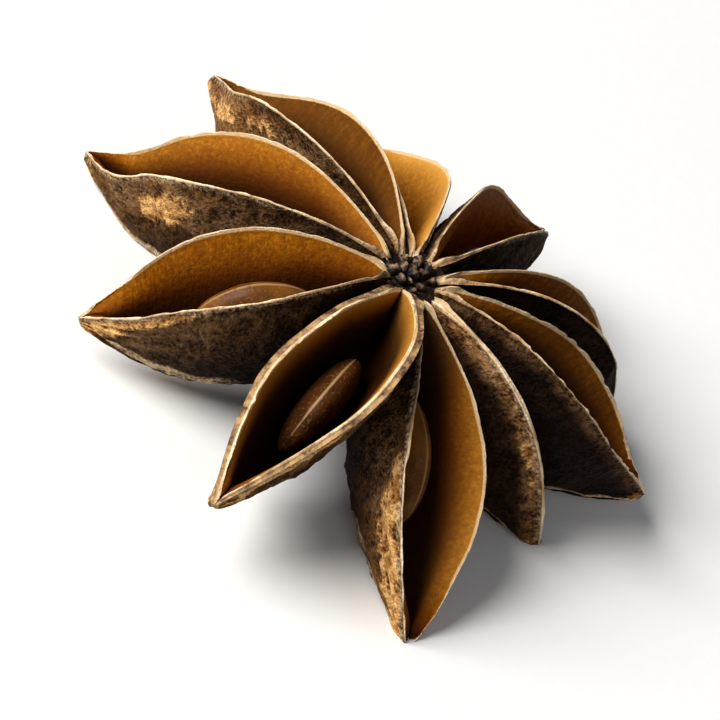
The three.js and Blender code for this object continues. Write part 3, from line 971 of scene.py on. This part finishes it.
def smooth_lining():
    """The inner wall: a hard smooth layer, amber, and darker deep down by painted shade."""
    m, seat = new_material("smooth_lining")
    down, share, warm, along, side, pale = (
        add(m, "ShaderNodeAttribute", {}, out="Fac", attribute_name=key)
        for key in ("down", "share", "tone", "along", "side", "pale")
    )
    # Fine fibres cross the wall from lip to floor, about three to a millimetre.
    thread = add(m, "ShaderNodeMath", {0: along, 1: 3.0}, operation="MULTIPLY")
    length = add(m, "ShaderNodeMath", {0: down, 1: 0.6}, operation="MULTIPLY")
    wall = add(m, "ShaderNodeCombineXYZ", {"X": thread, "Y": length, "Z": side})
    fibre = add(m, "ShaderNodeTexNoise", {"Vector": wall, "Scale": 1.0, "Detail": 4.0, "Roughness": 0.6})
    grain = add(
        m, "ShaderNodeTexNoise", {"Vector": seat, "Scale": 1 / 0.25, "Detail": 4.0, "Roughness": 0.65},
    )
    cloud = add(m, "ShaderNodeTexNoise", {"Vector": seat, "Scale": 1 / 3.2, "Detail": 4.0, "Roughness": 0.6})
    dull = add(m, "ShaderNodeMix", {SHARE: cloud, FROM: linear("#3E2204"), TO: linear("#60380A")}, **COLOURS)
    amber = add(
        m, "ShaderNodeMix", {SHARE: cloud, FROM: linear("#864402"), TO: linear("#B06A04")}, **COLOURS,
    )
    colour = add(m, "ShaderNodeMix", {SHARE: warm, FROM: dull, TO: amber}, **COLOURS)
    mottle = add(m, "ShaderNodeMapRange", {VALUE: grain, LOW: 0.42, HIGH: 0.7, AT_HIGH: 0.6})
    streak = add(m, "ShaderNodeMapRange", {VALUE: fibre, LOW: 0.5, HIGH: 0.75, AT_HIGH: 0.18})
    speck = add(m, "ShaderNodeMapRange", {VALUE: grain, LOW: 0.46, HIGH: 0.34, AT_HIGH: 0.3})
    speck = add(m, "ShaderNodeMath", {0: speck, 1: warm}, operation="MULTIPLY")
    # Further down painted shade darkens it, russet where it is amber above, then nearly black.
    russet = add(
        m, "ShaderNodeMix", {SHARE: warm, FROM: linear("#4E2E0A"), TO: linear("#6E2E06")}, **COLOURS,
    )
    stain = add(m, "ShaderNodeMapRange", {VALUE: share, LOW: 0.02, HIGH: 0.36, AT_HIGH: 0.85})
    deep = add(
        m, "ShaderNodeMapRange", {VALUE: share, LOW: 0.1, HIGH: 0.58, AT_HIGH: 0.9},
        interpolation_type="SMOOTHSTEP",
    )
    # Painted light beside the lips, where the lamp reaches the wall.
    light = add(m, "ShaderNodeMath", {0: pale, 1: 0.75}, operation="MULTIPLY")
    # The broken edge of the layer is as pale as the lip above it.
    uneven = add(m, "ShaderNodeMath", {0: grain, 1: -0.1, 2: down}, operation="MULTIPLY_ADD")
    edge = add(m, "ShaderNodeMapRange", {VALUE: uneven, LOW: 0.06, HIGH: 0.0, AT_HIGH: 0.9})
    layers = (
        (mottle, linear("#4A2606")), (streak, linear("#C07E18")), (speck, linear("#D0922A")),
        (stain, russet), (deep, linear("#180802")), (light, linear("#DEA244")),
        (edge, linear("#D8B88C")),
    )
    for cover, top in layers:
        colour = add(m, "ShaderNodeMix", {SHARE: cover, FROM: colour, TO: top}, **COLOURS)
    height = add(m, "ShaderNodeMath", {0: fibre, 1: grain}, operation="ADD")
    return finish(m, colour, 0.6, height, depth_mm=0.08, IOR=1.5, Specular_IOR_Level=0.04)


def column_cork():
    """Corky tissue where the carpels meet: dark, with paler crumbs."""
    m, seat = new_material("column_cork")
    grain = add(
        m, "ShaderNodeTexNoise", {"Vector": seat, "Scale": 1 / 0.35, "Detail": 4.0, "Roughness": 0.6},
    )
    crumb = add(m, "ShaderNodeMapRange", {VALUE: grain, LOW: 0.5, HIGH: 0.75})
    colour = add(
        m, "ShaderNodeMix", {SHARE: crumb, FROM: linear("#140A06"), TO: linear("#563A24")}, **COLOURS,
    )
    return finish(m, colour, 0.8, grain, depth_mm=0.1, IOR=1.45, Specular_IOR_Level=0.15)


def shrivelled_rind():
    """The shrivelled middle of the flower: near black, with painted highlights in brown on its tops."""
    m, seat = new_material("shrivelled_rind")
    top = add(m, "ShaderNodeAttribute", {}, out="Fac", attribute_name="crest")
    grain = add(m, "ShaderNodeTexNoise", {"Vector": seat, "Scale": 1 / 0.22, "Detail": 3.0})
    # The tops are painted lighter: painted highlights.
    worn = add(m, "ShaderNodeMath", {0: top, 1: grain}, operation="MULTIPLY")
    worn = add(m, "ShaderNodeMapRange", {VALUE: worn, LOW: 0.32, HIGH: 0.6})
    colour = add(
        m, "ShaderNodeMix", {SHARE: worn, FROM: linear("#140A06"), TO: linear("#8E7058")}, **COLOURS,
    )
    return finish(m, colour, 0.5, grain, depth_mm=0.1, IOR=1.5, Specular_IOR_Level=0.25)


def seed_coat():
    """A hard polished seed coat, dark brown with paler flecks and a pale seam."""
    m, seat = new_material("seed_coat")
    seam, tan = (
        add(m, "ShaderNodeAttribute", {}, out="Fac", attribute_name=key)
        for key in ("seam", "tan")
    )
    cloud = add(m, "ShaderNodeTexNoise", {"Vector": seat, "Scale": 1 / 1.6, "Detail": 3.0})
    fleck = add(m, "ShaderNodeTexNoise", {"Vector": seat, "Scale": 1 / 0.14, "Detail": 2.0})
    tint = add(m, "ShaderNodeMapRange", {VALUE: cloud, LOW: 0.35, HIGH: 0.65})
    dark = add(m, "ShaderNodeMix", {SHARE: tint, FROM: linear("#341906"), TO: linear("#4E2A0E")}, **COLOURS)
    light = add(m, "ShaderNodeMix", {SHARE: tint, FROM: linear("#5C320A"), TO: linear("#8C581E")}, **COLOURS)
    # The mix by `tan` is partly the seed's own colour and partly painted shade.
    colour = add(m, "ShaderNodeMix", {SHARE: tan, FROM: dark, TO: light}, **COLOURS)
    pale = add(m, "ShaderNodeMapRange", {VALUE: fleck, LOW: 0.56, HIGH: 0.72, AT_HIGH: 0.45})
    colour = add(m, "ShaderNodeMix", {SHARE: pale, FROM: colour, TO: linear("#966A36")}, **COLOURS)
    whole = add(m, "ShaderNodeMapRange", {VALUE: cloud, LOW: 0.3, HIGH: 0.42})
    line = add(m, "ShaderNodeMath", {0: seam, 1: whole}, operation="MULTIPLY")
    line = add(m, "ShaderNodeMapRange", {VALUE: line, LOW: 0.3, HIGH: 0.8, AT_HIGH: 0.7})
    colour = add(m, "ShaderNodeMix", {SHARE: line, FROM: colour, TO: linear("#A8855A")}, **COLOURS)
    return finish(
        m, colour, 0.45, fleck, depth_mm=0.02, IOR=1.5, Specular_IOR_Level=0.12,
        Coat_Weight=0.02, Coat_Roughness=0.3,
    )


def pale_board():
    """The plain surface under the pod: matt, and all but even."""
    m, seat = new_material("pale_board")
    grain = add(m, "ShaderNodeTexNoise", {"Vector": seat, "Scale": 1 / 0.8, "Detail": 3.0})
    colour = add(
        m, "ShaderNodeMix", {SHARE: grain, FROM: linear("#F3F2F0"), TO: linear("#F7F6F5")}, **COLOURS,
    )
    return finish(m, colour, 0.7, grain, depth_mm=0.01)


# ---- floor, light and camera -----------------------------------------------------

def floor(material):
    mesh = bpy.data.meshes.new("floor")
    corners = [(x * FLOOR_HALF, y * FLOOR_HALF, 0) for x, y in ((-1, -1), (1, -1), (1, 1), (-1, 1))]
    mesh.from_pydata(corners, [], [(0, 1, 2, 3)])
    mesh.materials.append(material)
    made = bpy.data.objects.new("floor", mesh)
    bpy.context.scene.collection.objects.link(made)
    return made


def aimed(obj, place_m, target_m, roll=0.0):
    """Puts obj at a place, looking at the target, rolled by some degrees."""
    sight = (Vector(target_m) - Vector(place_m)).to_track_quat("-Z", "Y").to_matrix().to_4x4()
    turn = Matrix.Rotation(math.radians(roll), 4, "Z")
    obj.matrix_world = Matrix.Translation(Vector(place_m)) @ sight @ turn
    return obj


def soft_light(name, direction, distance, size, power, colour):
    """A round lamp of `power` watts that points at the pod from `distance` metres."""
    light = bpy.data.lights.new(name, "AREA")
    light.shape = "DISK"
    light.size = size
    light.energy = power
    light.color = linear(colour)[:3]
    made = bpy.data.objects.new(name, light)
    bpy.context.scene.collection.objects.link(made)
    middle = Vector(HUB) * MM
    return aimed(made, middle + Vector(direction).normalized() * distance, middle)


def lights():
    soft_light(
        "key_light", (-0.74, -0.42, 0.7), distance=0.8, size=0.5, power=11.0, colour="#FFFEFB",
    )
    soft_light(
        "fill_light", (0.3, -0.9, 0.9), distance=0.9, size=0.6, power=0.8, colour="#F3F7FF",
    )
    world = bpy.data.worlds.new("studio")
    world.use_nodes = True
    background = world.node_tree.nodes["Background"]
    background.inputs["Color"].default_value = linear("#F2F4F8")
    background.inputs["Strength"].default_value = WORLD_STRENGTH
    bpy.context.scene.world = world


def camera():
    middle = Vector(HUB) * MM
    rise = math.radians(CAMERA_ELEVATION)
    back = Vector((0, -math.cos(rise), math.sin(rise))) * CAMERA_DISTANCE * MM
    lens = bpy.data.cameras.new("camera")
    lens.sensor_width = 36.0
    lens.lens = CAMERA_LENS
    lens.clip_start = 0.01
    made = bpy.data.objects.new("camera", lens)
    bpy.context.scene.collection.objects.link(made)
    target = middle + Vector(CAMERA_AIM) * MM
    aimed(made, middle + back, target, CAMERA_ROLL)
    bpy.context.scene.camera = made


# ---- everything --------------------------------------------------------------------

def main():
    camera()
    lights()
    floor(pale_board())
    bpy.context.scene.view_settings.view_transform = "Standard"

    shell = husk(dried_skin(), split_lip(), smooth_lining(), column_cork(), shrivelled_rind())
    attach(shell, "root")
    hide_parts("husk")
    coat = seed_coat()
    seeded = [c for c in CARPELS if "seed" in c]
    for i, c in enumerate(seeded):
        piece = seed(c, f"seed_coat_{i + 1}", coat)
        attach(piece, "root")
        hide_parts(f"seed_{i + 1}")


main()
